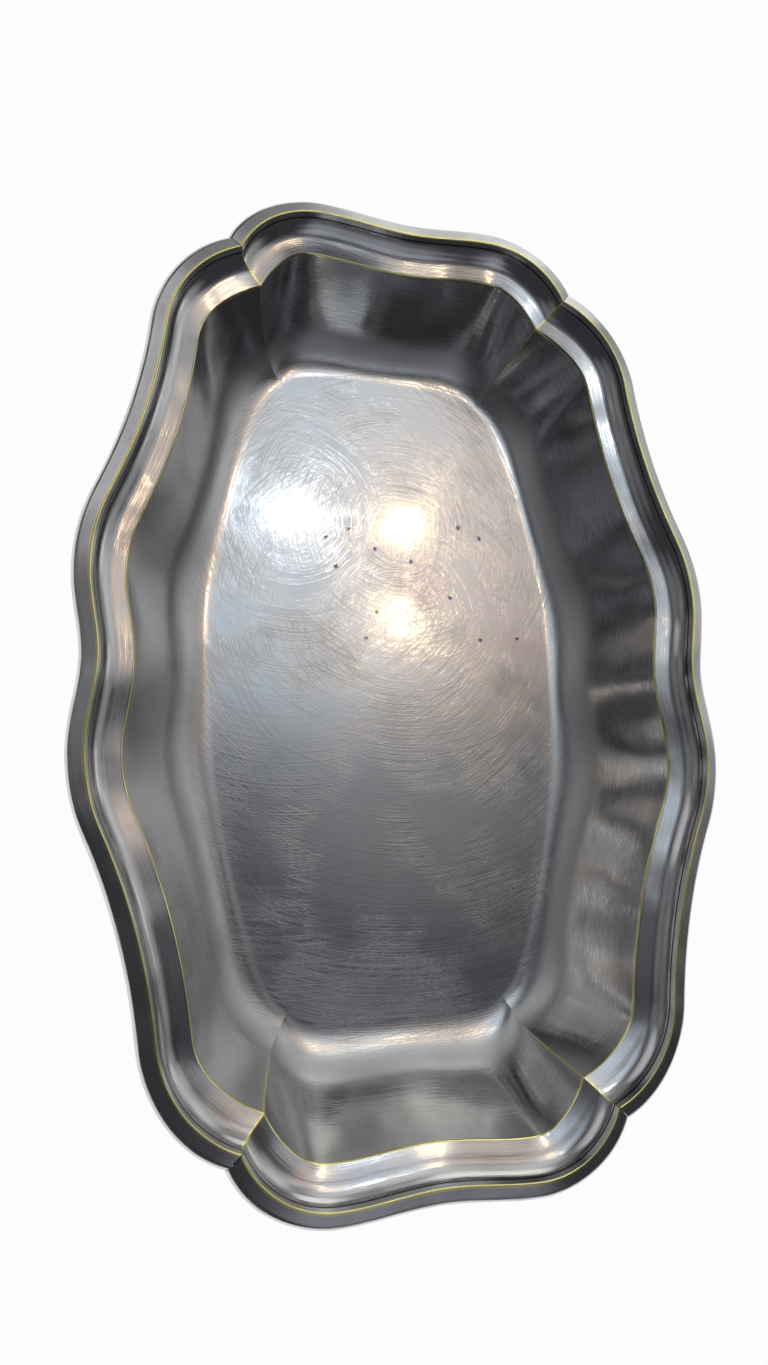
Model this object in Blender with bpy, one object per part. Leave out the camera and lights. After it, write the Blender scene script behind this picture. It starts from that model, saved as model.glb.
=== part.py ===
"""Deep serving platter: a pressed metal dish with a border moulding soldered round its edge.

The outline has two lobes on each long side and on each end. Neighbouring lobes meet in a sharp corner that
points inwards, and that corner runs as a crease from the border down the flange and the wall to the floor.
Frame: +Z up, X across, Y along, origin on the table under the middle of the floor. Lengths are in metres.
"""

from math import asin, atan2, cos, hypot, pi, radians, sin

import bmesh
import bpy
import numpy as np

# Heights
HEIGHT = 0.0462            # table to the top of the border's ridge
SHEET = 0.0010             # thickness of the pressed sheet

# Ridge line of the border, one quarter of it
HALF_LENGTH = 0.1703       # middle of the platter to the crown of an end
HALF_WIDTH = 0.1122        # middle of the platter to a shoulder of a long side
WAIST_DIP = 0.0032         # how far the middle of a long side lies inside its shoulders
SHOULDER_OUT = 0.0290      # shoulder's distance from the middle of the long side
FLANK_IN = 0.0055          # steepest place of the flank, inside the shoulder
FLANK_OUT = 0.0547         # and its distance from the middle of the long side
FLANK_LEAN = radians(24)   # its lean towards the middle
LOBE_IN = 0.0227           # start of the side's corner lobe, inside the shoulder
LOBE_BACK = 0.0523         # and its distance back from the crown of the end
LOBE_LEAN = radians(6.5)   # its lean towards the middle
CORNER_IN = 0.0479         # re-entrant corner, inside the shoulder
CORNER_BACK = 0.0196       # and its distance back from the crown of the end
CORNER_SIDE_LEAN = radians(68)  # lean of the side lobe where it reaches the corner
CORNER_END_DROOP = radians(66)  # droop of the end lobe where it reaches the corner
END_DIP = 0.0024           # how far the middle of an end lies inside its crowns
CROWN_OUT = 0.0340         # crown's distance from the middle of the end

# Flange: the coved band between the border and the inner ridge
FLANGE_WIDTH = 0.0116      # border's ridge to the inner ridge, measured across
FLANGE_DROP = 0.0086       # inner ridge below the border's ridge
FLANGE_FLAT = 0.0052       # its straight stretch next to the inner ridge, before it curves up
COVE_START = radians(12)   # slope of that stretch

# Ledge of the sheet that carries the border
LEDGE_DROP = 0.0026        # top of the ledge below the border's ridge
LEDGE_INNER = 0.0010       # ledge's inner edge, inside the border's ridge
LEDGE_OUTER = 0.0032       # cut edge of the sheet, outside the border's ridge

# Floor outline, each place measured inwards from the ridge line above it
FLOOR_IN_SIDE = 0.0397     # at the waist of a long side
FLOOR_IN_END = 0.0413      # at the middle of an end
FLOOR_LOBE_IN = 0.0371     # across, below the start of the side's corner lobe
FLOOR_LOBE_BACK = 0.0163   # along, below the start of the side's corner lobe
FLOOR_LOBE_LEAN = radians(20)
FLOOR_CROWN_IN = 0.0449    # along, below the crown of an end
FLOOR_CROWN_BACK = 0.0045  # across, below the crown of an end
FLOOR_CROWN_DROOP = radians(6)
FLOOR_CORNER_IN = 0.0230   # across, below the re-entrant corner
FLOOR_CORNER_BACK = 0.0304  # along, below the re-entrant corner
FLOOR_CORNER_SIDE_LEAN = radians(54)
FLOOR_CORNER_END_DROOP = radians(54)
FLOOR_BEND = 0.0180        # radius of the bend between wall and floor
BEND_LEAN = radians(52)    # lean at which the bend passes into the bowed wall

# Border moulding: a drawn section with a ridge, a rounded outer face and a rebate over the sheet's edge
BORDER_OUT = 0.0058        # ridge to the outermost place of the border
BORDER_SKIRT = 0.0064      # ridge down to the border's lower edge
BORDER_SHOULDER = 0.0040   # ridge down to where the outer face turns upright
BORDER_BEND = 0.0032       # radius of the outer face's bend
BORDER_TOE = 0.0013        # ridge to the toe of the border's inner face
RIDGE_RADIUS = 0.0005      # rounding on top of the ridge
SKIRT_EASE = 0.0005        # bevel along the border's lower edge
SEAT_GAP = 0.0003          # solder gap between border and sheet
MITRE_GAP = 0.0003         # solder gap between neighbouring border lengths

# Facets
SIDE_STEPS = (4, 3, 4, 8)  # along each span of a long side's half
END_STEPS = (5, 8)         # along each span of an end's half
COVE_STEPS = 4
WALL_STEPS = 3
BEND_STEPS = 7
BORDER_BEND_STEPS = 5
RIDGE_STEPS = 3

ACROSS_Y = np.array((-1.0, 1.0))   # mirror image in the plane x = 0
ACROSS_X = np.array((1.0, -1.0))   # mirror image in the plane y = 0

SILVER = (0.62, 0.61, 0.59, 1.0)
BORDER_METAL = (0.66, 0.63, 0.55, 1.0)


def clear_scene():
    """Removes every object, so that the script can be run again."""
    for item in list(bpy.data.objects):
        bpy.data.objects.remove(item, do_unlink=True)


def metal(name, colour, roughness):
    """A plain metal finish."""
    material = bpy.data.materials.new(name)
    material.use_nodes = True
    shader = material.node_tree.nodes["Principled BSDF"]
    shader.inputs["Base Color"].default_value = colour
    shader.inputs["Metallic"].default_value = 1.0
    shader.inputs["Roughness"].default_value = roughness
    return material


def span(start, end, steps):
    """Points and directions of a span between two knots (x, y, heading): the cubic nearest to an arc."""
    (x0, y0, a0), (x1, y1, a1) = start, end
    handle = hypot(x1 - x0, y1 - y0) / (3 * cos((a1 - a0) / 4) ** 2)
    p0 = np.array((x0, y0))
    p3 = np.array((x1, y1))
    p1 = p0 + handle * np.array((cos(a0), sin(a0)))
    p2 = p3 - handle * np.array((cos(a1), sin(a1)))
    t = np.linspace(0.0, 1.0, steps + 1)[:, None]
    points = (1 - t) ** 3 * p0 + 3 * t * (1 - t) ** 2 * p1 + 3 * t ** 2 * (1 - t) * p2 + t ** 3 * p3
    along = (1 - t) ** 2 * (p1 - p0) + 2 * t * (1 - t) * (p2 - p1) + t ** 2 * (p3 - p2)
    return points, along / np.linalg.norm(along, axis=1, keepdims=True)


def chain(knots, steps):
    """Points and directions along several spans, each shared knot taken once."""
    runs = [span(*pair, count) for pair, count in zip(zip(knots, knots[1:]), steps)]
    points = [runs[0][0]] + [run[0][1:] for run in runs[1:]]
    along = [runs[0][1]] + [run[1][1:] for run in runs[1:]]
    return np.concatenate(points), np.concatenate(along)


def side_heading(lean):
    """Heading of a long side, which runs along +Y and leans towards the middle."""
    return pi / 2 + lean


def ridge_knots():
    """Knots of the border's ridge: half a long side and half an end, each from its middle to the corner."""
    corner = (HALF_WIDTH - CORNER_IN, HALF_LENGTH - CORNER_BACK)
    side = [
        (HALF_WIDTH - WAIST_DIP, 0.0, side_heading(0.0)),
        (HALF_WIDTH, SHOULDER_OUT, side_heading(0.0)),
        (HALF_WIDTH - FLANK_IN, FLANK_OUT, side_heading(FLANK_LEAN)),
        (HALF_WIDTH - LOBE_IN, HALF_LENGTH - LOBE_BACK, side_heading(LOBE_LEAN)),
        (*corner, side_heading(CORNER_SIDE_LEAN)),
    ]
    end = [
        (0.0, HALF_LENGTH - END_DIP, 0.0),
        (CROWN_OUT, HALF_LENGTH, 0.0),
        (*corner, -CORNER_END_DROOP),
    ]
    return side, end


def floor_knots():
    """Knots of the floor's edge, set in from the ridge's knots above them."""
    side, end = ridge_knots()
    waist, lobe, corner = side[0], side[3], side[4]
    middle, crown = end[0], end[1]
    foot = (corner[0] - FLOOR_CORNER_IN, corner[1] - FLOOR_CORNER_BACK)
    floor_side = [
        (waist[0] - FLOOR_IN_SIDE, 0.0, side_heading(0.0)),
        (lobe[0] - FLOOR_LOBE_IN, lobe[1] - FLOOR_LOBE_BACK, side_heading(FLOOR_LOBE_LEAN)),
        (*foot, side_heading(FLOOR_CORNER_SIDE_LEAN)),
    ]
    floor_end = [
        (0.0, middle[1] - FLOOR_IN_END, 0.0),
        (crown[0] - FLOOR_CROWN_BACK, crown[1] - FLOOR_CROWN_IN, -FLOOR_CROWN_DROOP),
        (*foot, -FLOOR_CORNER_END_DROOP),
    ]
    return floor_side, floor_end


def smooth_step(t):
    """Eases from 0 to 1 with level ends."""
    return t * t * (3 - 2 * t)


class Run:
    """Half a long side or half an end: its ridge, the floor's edge below, and the way outwards."""

    def __init__(self, ridge, floor, steps, turn, mitre):
        self.ridge, along = chain(ridge, steps)
        self.along = along
        normal = turn * np.stack((along[:, 1], -along[:, 0]), axis=1)
        lobe = steps[-1]
        ease = np.zeros(len(normal))
        ease[-lobe - 1:] = smooth_step(np.linspace(0.0, 1.0, lobe + 1))
        self.outward = normal + ease[:, None] * (mitre - normal)
        self.floor = self.matched(floor, sum(steps))

    def matched(self, knots, count):
        """Floor points at the same share of their length as the ridge points have of theirs."""
        fine, _ = chain(knots, [count * 4] * (len(knots) - 1))
        share = running_share(self.ridge)
        fine_share = running_share(fine)
        return np.stack([np.interp(share, fine_share, fine[:, axis]) for axis in (0, 1)], axis=1)


def running_share(points):
    """Share of the whole length at which each point lies."""
    reach = np.concatenate(([0.0], np.cumsum(np.linalg.norm(np.diff(points, axis=0), axis=1))))
    return reach / reach[-1]


def corner_mitre():
    """Direction of the corner's mitre line, as long as keeps both neighbours at their distance."""
    side_normal = np.array((cos(CORNER_SIDE_LEAN), sin(CORNER_SIDE_LEAN)))
    end_normal = np.array((sin(CORNER_END_DROOP), cos(CORNER_END_DROOP)))
    return (side_normal + end_normal) / (1 + side_normal @ end_normal)


def quarter():
    """The two runs of the quarter with positive x and y."""
    mitre = corner_mitre()
    (side, end), (floor_side, floor_end) = ridge_knots(), floor_knots()
    return Run(side, floor_side, SIDE_STEPS, 1, mitre), Run(end, floor_end, END_STEPS, -1, mitre)


def whole_run(half, mirror):
    """Both halves of a run, corner to corner: a half starts in the middle, so its mirror comes first."""
    return np.concatenate((half[:0:-1] * mirror, half))


def whole_ring(side, end):
    """Closed ring of points from a quarter's side and end, counter-clockwise from the right-hand waist."""
    first = np.concatenate((side[:-1], end[:0:-1]))
    second = np.concatenate((end[:-1], side[:0:-1])) * ACROSS_Y
    upper = np.concatenate((first, second))
    return np.concatenate((upper, -upper))


def arc_from(lean, end, steps):
    """Arc from (0, 0) that sets off at a lean and arrives at the end: its chord has the mean of both leans."""
    last = 2 * atan2(end[1], end[0]) - lean
    radius = hypot(*end) / (2 * sin((last - lean) / 2))
    leans = np.linspace(lean, last, steps + 1)
    return radius * np.stack((np.sin(leans) - sin(lean), cos(lean) - np.cos(leans)), axis=1)


def flange_section():
    """Upper face of the sheet, cut edge to inner ridge, as (outward, height) from the border's ridge."""
    ledge = np.array((-LEDGE_INNER, -LEDGE_DROP))
    ridge = np.array((-FLANGE_WIDTH, -FLANGE_DROP))
    start = ridge + FLANGE_FLAT * np.array((cos(COVE_START), sin(COVE_START)))
    cove = start + arc_from(COVE_START, ledge - start, COVE_STEPS)
    return np.concatenate(([(LEDGE_OUTER, -LEDGE_DROP)], cove[::-1], [ridge]))


def wall_section(run, drop):
    """Upper face of the wall as (inward, down) from the inner ridge: a bow, then the bend into the floor."""
    lean = np.linspace(0.0, BEND_LEAN, BEND_STEPS + 1)
    bend = FLOOR_BEND * np.stack((np.sin(lean), 1 - np.cos(lean)), axis=1)
    size = np.array((run, drop))
    bow = bend[-1] + arc_from(BEND_LEAN, size - bend[-1], WALL_STEPS)
    return size - np.concatenate((bend, bow[1:]))[::-1]


def bent_to_level(run, drop, radius, straight_steps, bend_steps):
    """Line from (0, 0) that goes straight and then bends, with the radius, to arrive level at (run, drop)."""
    slope = atan2(drop - radius, run) + asin(radius / hypot(run, drop - radius))
    angle = np.linspace(slope, 0.0, bend_steps + 1)
    bend = np.stack((run - radius * np.sin(angle), drop - radius * (1 - np.cos(angle))), axis=1)
    straight = np.linspace(0.0, 1.0, straight_steps + 1)[:-1, None] * bend[0]
    return np.concatenate((straight, bend))


def underside_shift(section, last_way):
    """Shift of each section point that carries it to the sheet's other face, square to both neighbours."""
    ways = np.diff(section, axis=0)
    ways = np.concatenate((ways[:1], ways, [last_way]))
    ways /= np.linalg.norm(ways, axis=1, keepdims=True)
    normal = np.stack((-ways[:, 1], ways[:, 0]), axis=1)
    before, after = normal[:-1], normal[1:]
    joint = (before + after) / (1 + np.sum(before * after, axis=1, keepdims=True))
    return SHEET * joint


def dish_rings(runs):
    """Rings of the dish from the floor's upper face, round the cut edge, to the floor's underside."""
    side, end = runs
    ridge = whole_ring(side.ridge, end.ridge)
    outward = whole_ring(side.outward, end.outward)
    floor = whole_ring(side.floor, end.floor)
    inner_ridge = ridge - FLANGE_WIDTH * outward

    flange = flange_section()
    run = FLOOR_IN_SIDE - FLANGE_WIDTH
    drop = HEIGHT - FLANGE_DROP - SHEET
    wall = wall_section(run, drop)[1:]
    wall_points = np.stack((-FLANGE_WIDTH - wall[:, 0], -FLANGE_DROP - wall[:, 1]), axis=1)
    shift = underside_shift(np.concatenate((flange, wall_points)), (-1.0, 0.0))

    upper = [(ridge + across * outward, height) for across, height in flange]
    upper += [(inner_ridge + (inward / run) * (floor - inner_ridge), height)
              for (inward, _), (_, height) in zip(wall, wall_points)]
    lower = [(plan + out * outward, height + up) for (plan, height), (out, up) in zip(upper, shift)]
    rings = upper[::-1] + lower
    return [np.column_stack((plan, np.full(len(plan), HEIGHT + height))) for plan, height in rings]


def border_section():
    """Closed section of the border as (outward, height) from its ridge."""
    seat = SEAT_GAP - LEDGE_DROP
    rebate = LEDGE_OUTER + SEAT_GAP
    toe = np.array((-BORDER_TOE, seat))
    inner = toe + bent_to_level(BORDER_TOE, -seat, RIDGE_RADIUS, 1, RIDGE_STEPS)
    upright = bent_to_level(BORDER_SHOULDER, BORDER_OUT, BORDER_BEND, 1, BORDER_BEND_STEPS)
    outer = np.stack((upright[:, 1], -upright[:, 0]), axis=1)
    skirt = [
        (BORDER_OUT, SKIRT_EASE - BORDER_SKIRT),
        (BORDER_OUT - SKIRT_EASE, -BORDER_SKIRT),
        (rebate, -BORDER_SKIRT),
        (rebate, seat),
    ]
    return np.concatenate((inner, outer[1:], skirt))


def border_stations(run, mirror):
    """Ridge points and outward ways along a whole run, drawn back from the mitre at both ends."""
    mitre = run.outward[-1] / np.linalg.norm(run.outward[-1])
    square = np.array((-mitre[1], mitre[0]))
    back = -np.sign(square @ run.along[-1]) * square
    half = run.ridge.copy()
    half[-1] += back * MITRE_GAP / 2
    return whole_run(half, mirror), whole_run(run.outward, mirror)


def dress(name, work, material):
    """Turns a bmesh into a named, smooth-shaded object with outward faces."""
    bmesh.ops.recalc_face_normals(work, faces=work.faces)
    mesh = bpy.data.meshes.new(name)
    work.to_mesh(mesh)
    work.free()
    mesh.materials.append(material)
    mesh.shade_smooth()
    mesh.set_sharp_from_angle(angle=radians(35))
    item = bpy.data.objects.new(name, mesh)
    bpy.context.scene.collection.objects.link(item)
    return item


def loft(work, rings):
    """Skins a list of equally long closed rings and caps the first and the last."""
    rows = [[work.verts.new(point) for point in ring] for ring in rings]
    for row, following in zip(rows, rows[1:]):
        for i in range(len(row)):
            work.faces.new((row[i - 1], row[i], following[i], following[i - 1]))
    for cap in (rows[0], rows[-1]):
        work.faces.new(cap)


def build_dish(runs, material):
    """Pressed dish: floor, wall, inner ridge, coved flange and the ledge for the border, one sheet thick."""
    work = bmesh.new()
    loft(work, dish_rings(runs))
    return dress("dish_body", work, material)


def build_border(name, run, mirror, turn, material):
    """One length of border moulding, from mitre to mitre, turned about Z to its side of the platter."""
    section = border_section()
    rings = [np.column_stack((place + section[:, :1] * way, HEIGHT + section[:, 1]))
             for place, way in zip(*border_stations(run, mirror))]
    work = bmesh.new()
    loft(work, rings)
    item = dress(name, work, material)
    item.rotation_euler.z = turn
    return item


def main():
    clear_scene()
    dish_metal = metal("pressed_plate", SILVER, 0.28)
    border_metal = metal("border_plate", BORDER_METAL, 0.24)
    runs = quarter()
    side, end = runs
    build_dish(runs, dish_metal)
    build_border("border_right", side, ACROSS_X, 0.0, border_metal)
    build_border("border_left", side, ACROSS_X, pi, border_metal)
    build_border("border_far", end, ACROSS_Y, 0.0, border_metal)
    build_border("border_near", end, ACROSS_Y, pi, border_metal)


main()
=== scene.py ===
"""Looks of a deep serving platter: a pressed dish of worn silver-coloured plate with four border mouldings.

The plan has two lobes on each long side and on each end. A side and an end meet in a sharp corner that points
inwards, and that corner runs as a crease from the border down the flange and the wall to the floor.
Frame: +Z up, X across, Y along, origin on the table under the middle of the floor. Lengths are in metres.
"""

import logging
from dataclasses import dataclass, field
from enum import Enum, IntEnum
from functools import partial, reduce
from math import asin, atan2, cos, hypot, pi, radians, sin
from typing import Any, ClassVar, Sequence

import bpy
import numpy as np
from mathutils import Matrix, Vector


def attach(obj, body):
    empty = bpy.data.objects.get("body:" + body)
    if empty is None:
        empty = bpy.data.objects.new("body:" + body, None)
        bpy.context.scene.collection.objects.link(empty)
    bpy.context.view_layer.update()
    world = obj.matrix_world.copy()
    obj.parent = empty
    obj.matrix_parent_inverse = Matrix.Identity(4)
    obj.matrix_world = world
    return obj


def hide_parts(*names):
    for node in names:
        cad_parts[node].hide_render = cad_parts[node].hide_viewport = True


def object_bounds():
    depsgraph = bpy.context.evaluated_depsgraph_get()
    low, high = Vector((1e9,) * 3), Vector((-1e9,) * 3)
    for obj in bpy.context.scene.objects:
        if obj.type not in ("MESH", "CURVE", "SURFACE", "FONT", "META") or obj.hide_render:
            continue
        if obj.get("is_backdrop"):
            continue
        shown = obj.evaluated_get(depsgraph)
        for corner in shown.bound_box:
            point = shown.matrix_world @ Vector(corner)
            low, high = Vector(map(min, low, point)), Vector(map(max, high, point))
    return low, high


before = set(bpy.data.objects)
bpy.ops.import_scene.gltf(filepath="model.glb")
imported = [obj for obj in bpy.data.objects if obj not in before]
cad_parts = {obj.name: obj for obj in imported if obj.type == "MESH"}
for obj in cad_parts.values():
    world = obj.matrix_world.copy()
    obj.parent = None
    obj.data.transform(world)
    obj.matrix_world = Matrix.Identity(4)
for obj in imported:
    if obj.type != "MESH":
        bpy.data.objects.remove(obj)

LOG = logging.getLogger("platter")
BODY = "root"

Array = np.ndarray
Piece = bpy.types.Object
Material = bpy.types.Material
Socket = bpy.types.NodeSocket
Value = Any   # a socket to link, or a number or tuple to set
Colour = tuple[float, float, float, float]
Ease = tuple[float, ...]   # a value's low and high end, then the numbers that it eases between

ACROSS_Y = np.array((-1.0, 1.0))   # mirror image in the plane x = 0
ACROSS_X = np.array((1.0, -1.0))   # mirror image in the plane y = 0


class BorderSide(Enum):
    """The four border lengths: CAD node, whether it lies on a long side, and its turn about Z."""

    RIGHT = ("border_right", True, 1.0)
    LEFT = ("border_left", True, -1.0)
    FAR = ("border_far", False, 1.0)
    NEAR = ("border_near", False, -1.0)

    def __init__(self, node: str, on_long_side: bool, turn: float) -> None:
        """Keeps the node, whether it lies on a long side, and the sign of x and y: -1 is half a turn."""
        self.node, self.on_long_side, self.turn = node, on_long_side, turn


class Zone(IntEnum):
    """Stretches of the dish's upper face, from the middle outwards."""

    FLOOR = 0
    WALL = 1
    RIDGE = 2
    FLANGE = 3


@dataclass(frozen=True)
class Knot:
    """A place on an outline and the heading of the line there, in radians."""

    x: float
    y: float
    heading: float

    @property
    def place(self) -> Array:
        """The knot's place as an array."""
        return np.array((self.x, self.y))

    @property
    def way(self) -> Array:
        """Unit direction of the line at the knot."""
        return np.array((cos(self.heading), sin(self.heading)))


def smooth_step(t: Array) -> Array:
    """Eases from 0 to 1 with level ends: 3 t² - 2 t³, held outside."""
    t = np.clip(t, 0.0, 1.0)
    return t * t * (3 - 2 * t)


def running_length(points: Array) -> Array:
    """Length along a line of points from its first one."""
    steps = np.linalg.norm(np.diff(points, axis=0), axis=1)
    return np.concatenate(([0.0], np.cumsum(steps)))


def cubic_span(start: Knot, end: Knot, t: Array) -> tuple[Array, Array]:
    """Points and unit directions on the cubic nearest to an arc between two knots.

    Both handles are chord / (3 cos²(turn / 4)) long and lie along the headings; t runs from 0 to 1.

    Args:
        start: knot where the span begins.
        end: knot where it ends.
        t: parameters along the span.

    Returns:
        Points and unit directions, one row for each parameter.
    """
    chord = hypot(end.x - start.x, end.y - start.y)
    handle = chord / (3 * cos((end.heading - start.heading) / 4) ** 2)
    p0, p3 = start.place, end.place
    p1 = p0 + handle * start.way
    p2 = p3 - handle * end.way
    t = t[:, None]
    points = (1 - t) ** 3 * p0 + 3 * t * (1 - t) ** 2 * p1 + 3 * t ** 2 * (1 - t) * p2 + t ** 3 * p3
    along = (1 - t) ** 2 * (p1 - p0) + 2 * t * (1 - t) * (p2 - p1) + t ** 2 * (p3 - p2)
    return points, along / np.linalg.norm(along, axis=1, keepdims=True)


def chain(knots: Sequence[Knot], shares: Sequence[Array]) -> tuple[Array, Array]:
    """Points and directions along several spans, each shared knot taken once.

    Args:
        knots: knots in order.
        shares: parameters of each span, each from 0 to 1.

    Returns:
        Points and unit directions of the whole line.
    """
    runs = [cubic_span(a, b, t) for a, b, t in zip(knots, knots[1:], shares)]
    points = [runs[0][0]] + [run[0][1:] for run in runs[1:]]
    along = [runs[0][1]] + [run[1][1:] for run in runs[1:]]
    return np.concatenate(points), np.concatenate(along)


def bent_to_level(run: float, drop: float, radius: float, straight: int, bend: int) -> Array:
    """Line from (0, 0) that goes straight and then bends, with the radius, to arrive level at (run, drop).

    Args:
        run: distance covered across.
        drop: distance covered downwards.
        radius: radius of the bend.
        straight: steps on the straight stretch.
        bend: steps on the bend.

    Returns:
        Points (across, down) from the start to the end.
    """
    slope = atan2(drop - radius, run) + asin(radius / hypot(run, drop - radius))
    angle = np.linspace(slope, 0.0, bend + 1)
    curve = np.stack((run - radius * np.sin(angle), drop - radius * (1 - np.cos(angle))), axis=1)
    line = np.linspace(0.0, 1.0, straight + 1)[:-1, None] * curve[0]
    return np.concatenate((line, curve))


def arc_from(lean: float, end: Array, steps: int) -> Array:
    """Arc from (0, 0) that sets off at a lean and arrives at the end.

    Its chord leans as the mean of both ends' leans.

    Args:
        lean: lean of the line at the start, in radians.
        end: place where it arrives, as (across, up).
        steps: steps along the arc.

    Returns:
        Points (across, up) from the start to the end.
    """
    last = 2 * atan2(end[1], end[0]) - lean
    radius = hypot(*end) / (2 * sin((last - lean) / 2))
    leans = np.linspace(lean, last, steps + 1)
    return radius * np.stack((np.sin(leans) - sin(lean), cos(lean) - np.cos(leans)), axis=1)


@dataclass
class HalfRun:
    """Half a long side or half an end, from its middle to the corner, one row for each station."""

    ridge: Array
    along: Array
    outward: Array
    floor: Array


@dataclass(frozen=True)
class Plan:
    """Ridge line of the border and the floor's edge below it, one quarter of each; the rest is mirrored."""

    half_length: float = 0.1703
    half_width: float = 0.1122
    waist_dip: float = 0.0032
    shoulder_out: float = 0.0290
    flank_in: float = 0.0055
    flank_out: float = 0.0547
    flank_lean: float = radians(24)
    lobe_in: float = 0.0227
    lobe_back: float = 0.0523
    lobe_lean: float = radians(6.5)
    corner_in: float = 0.0479
    corner_back: float = 0.0196
    corner_side_lean: float = radians(68)
    corner_end_droop: float = radians(66)
    end_dip: float = 0.0024
    crown_out: float = 0.0340
    floor_in_side: float = 0.0397
    floor_in_end: float = 0.0413
    floor_lobe_in: float = 0.0371
    floor_lobe_back: float = 0.0163
    floor_lobe_lean: float = radians(20)
    floor_crown_in: float = 0.0449
    floor_crown_back: float = 0.0045
    floor_crown_droop: float = radians(6)
    floor_corner_in: float = 0.0230
    floor_corner_back: float = 0.0304
    floor_corner_side_lean: float = radians(54)
    floor_corner_end_droop: float = radians(54)
    floor_shift: tuple[float, float] = (0.0012, 0.0030)   # how far the floor stands off the middle
    side_steps: tuple[int, ...] = (14, 12, 18, 44)
    end_steps: tuple[int, ...] = (18, 44)
    bunching: float = 1.5
    floor_samples: int = 400

    def ridge_knots(self) -> tuple[list[Knot], list[Knot]]:
        """Knots of the ridge: half a long side and half an end, each from its middle to the corner.

        Returns:
            Knots of the side and of the end.
        """
        width, length = self.half_width, self.half_length
        corner = (width - self.corner_in, length - self.corner_back)
        side = [
            Knot(width - self.waist_dip, 0.0, pi / 2),
            Knot(width, self.shoulder_out, pi / 2),
            Knot(width - self.flank_in, self.flank_out, pi / 2 + self.flank_lean),
            Knot(width - self.lobe_in, length - self.lobe_back, pi / 2 + self.lobe_lean),
            Knot(*corner, pi / 2 + self.corner_side_lean),
        ]
        end = [
            Knot(0.0, length - self.end_dip, 0.0),
            Knot(self.crown_out, length, 0.0),
            Knot(*corner, -self.corner_end_droop),
        ]
        return side, end

    def floor_knots(self) -> tuple[list[Knot], list[Knot]]:
        """Knots of the floor's edge, each set in from the ridge's knot above it.

        Returns:
            Knots of the side and of the end.
        """
        side, end = self.ridge_knots()
        waist, lobe, corner = side[0], side[3], side[4]
        middle, crown = end[0], end[1]
        foot = (corner.x - self.floor_corner_in, corner.y - self.floor_corner_back)
        floor_side = [
            Knot(waist.x - self.floor_in_side, 0.0, pi / 2),
            Knot(lobe.x - self.floor_lobe_in, lobe.y - self.floor_lobe_back, pi / 2 + self.floor_lobe_lean),
            Knot(*foot, pi / 2 + self.floor_corner_side_lean),
        ]
        floor_end = [
            Knot(0.0, middle.y - self.floor_in_end, 0.0),
            Knot(crown.x - self.floor_crown_back, crown.y - self.floor_crown_in, -self.floor_crown_droop),
            Knot(*foot, -self.floor_corner_end_droop),
        ]
        return floor_side, floor_end

    def mitre(self) -> Array:
        """Direction of the corner's mitre line, as long as keeps both neighbours at their distance.

        Returns:
            The direction as (x, y).
        """
        side_normal = np.array((cos(self.corner_side_lean), sin(self.corner_side_lean)))
        end_normal = np.array((sin(self.corner_end_droop), cos(self.corner_end_droop)))
        return (side_normal + end_normal) / (1 + side_normal @ end_normal)

    def half_run(self, ridge: list[Knot], floor: list[Knot], steps: Sequence[int], turn: int) -> HalfRun:
        """One half run: normals ease to the mitre over the last span, whose stations crowd at the corner.

        Args:
            ridge: knots of the ridge line.
            floor: knots of the floor's edge.
            steps: steps on each span of the ridge.
            turn: 1 where outwards lies to the right of the heading, -1 where it lies to the left.

        Returns:
            The run's stations.
        """
        shares = [np.linspace(0.0, 1.0, count + 1) for count in steps]
        shares[-1] = 1 - (1 - shares[-1]) ** self.bunching
        points, along = chain(ridge, shares)
        normal = turn * np.stack((along[:, 1], -along[:, 0]), axis=1)
        ease = np.zeros(len(points))
        ease[-len(shares[-1]):] = smooth_step(shares[-1])
        outward = normal + ease[:, None] * (self.mitre() - normal)
        fine, _ = chain(floor, [np.linspace(0.0, 1.0, self.floor_samples)] * (len(floor) - 1))
        share, fine_share = (reach / reach[-1] for reach in (running_length(points), running_length(fine)))
        below = np.stack([np.interp(share, fine_share, fine[:, axis]) for axis in (0, 1)], axis=1)
        return HalfRun(points, along, outward, below)

    def quarter(self) -> tuple[HalfRun, HalfRun]:
        """The two half runs of the quarter with positive x and y.

        Returns:
            Half a long side and half an end.
        """
        (side, end), (floor_side, floor_end) = self.ridge_knots(), self.floor_knots()
        return (self.half_run(side, floor_side, self.side_steps, 1),
                self.half_run(end, floor_end, self.end_steps, -1))


def whole_ring(side: Array, end: Array) -> Array:
    """Closed ring from a quarter's side and end, counter-clockwise from the right-hand waist.

    Args:
        side: rows of half a long side, from its middle to the corner.
        end: rows of half an end, from its middle to the corner.

    Returns:
        Rows of the ring, its first one not repeated.
    """
    first = np.concatenate((side[:-1], end[:0:-1]))
    second = np.concatenate((end[:-1], side[:0:-1])) * ACROSS_Y
    upper = np.concatenate((first, second))
    return np.concatenate((upper, -upper))


def whole_run(half: Array, mirror: Array) -> Array:
    """Both halves of a run, corner to corner: a half starts in the middle, so its mirror comes first."""
    return np.concatenate((half[:0:-1] * mirror, half))


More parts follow.
